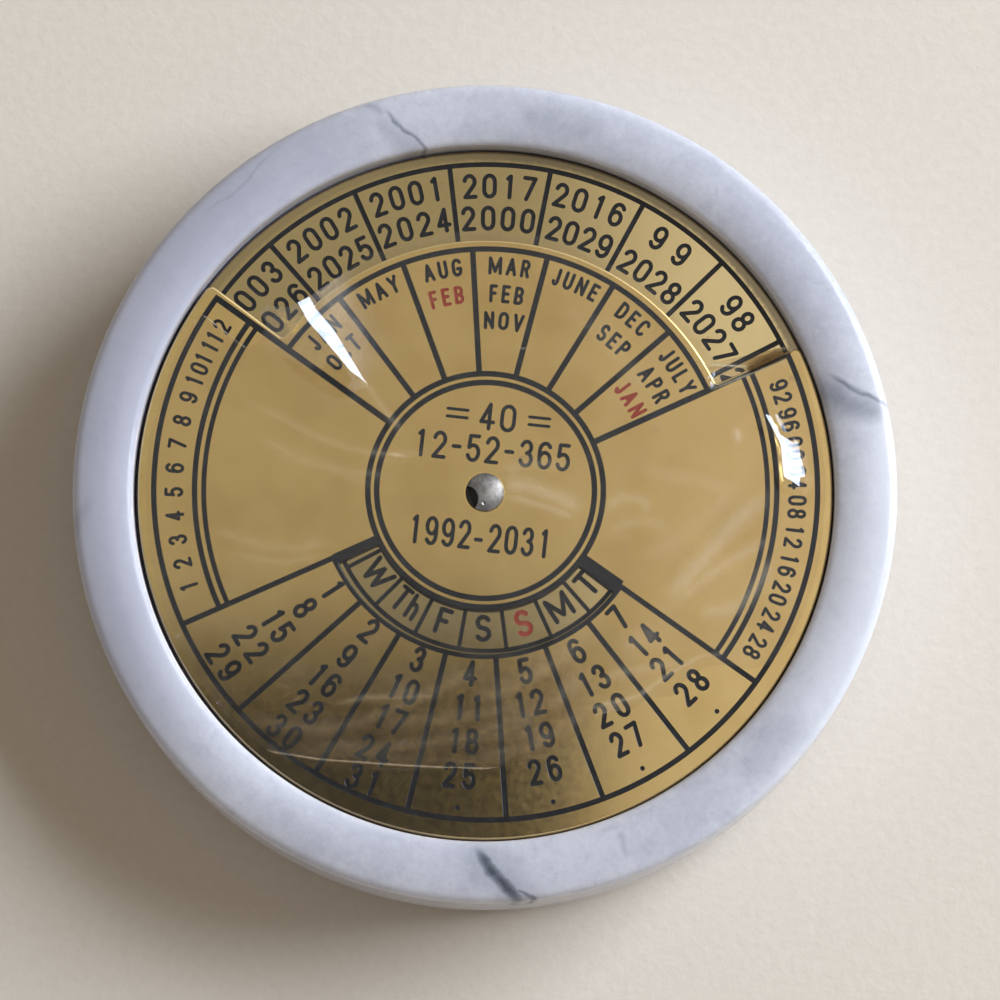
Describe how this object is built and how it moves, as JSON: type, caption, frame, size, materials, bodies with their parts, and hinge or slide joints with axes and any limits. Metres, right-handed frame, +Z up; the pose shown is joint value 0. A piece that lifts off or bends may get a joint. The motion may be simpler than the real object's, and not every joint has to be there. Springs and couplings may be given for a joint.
{
  "type": "perpetual calendar",
  "caption": "Round marble paperweight with a brass perpetual calendar: a month plate turns on a rivet over a fixed disc of years and weekdays.",
  "frame": {"origin": "centre of the felt pad's underside, on the rivet's axis", "axes": "+Z up, out of the dial's face; +Y to the top of the dial at rest, where the year window is; +X to the dial's right"},
  "size_m": [0.09, 0.09, 0.018],
  "materials": {
    "marble": "polished white marble with blue-grey clouds and veins",
    "felt": "matt wool felt",
    "adhesive": "aged foam adhesive",
    "disc_brass": "satin lacquered brass with black and red filled etching",
    "plate_brass": "satin lacquered brass with black and red filled etching",
    "washer_steel": "plain zinc-plated washer",
    "rivet_steel": "worn nickel-plated steel",
    "film": "clear, wrinkled protective film"
  },
  "bodies": {
    "base": {"marble_body": "marble", "felt_pad": "felt", "adhesive_ring": "adhesive", "year_disc": "disc_brass", "spacer_washer": "washer_steel", "tail_washer": "washer_steel", "pivot_rivet": "rivet_steel"},
    "dial": {"month_plate": "plate_brass", "protective_film": "film"}
  },
  "joints": [
    {"name": "dial_turn", "type": "hinge", "parent": "base", "child": "dial", "pos_m": [0, 0, 0.015], "axis": [0, 0, 1], "continuous": true}
  ]
}
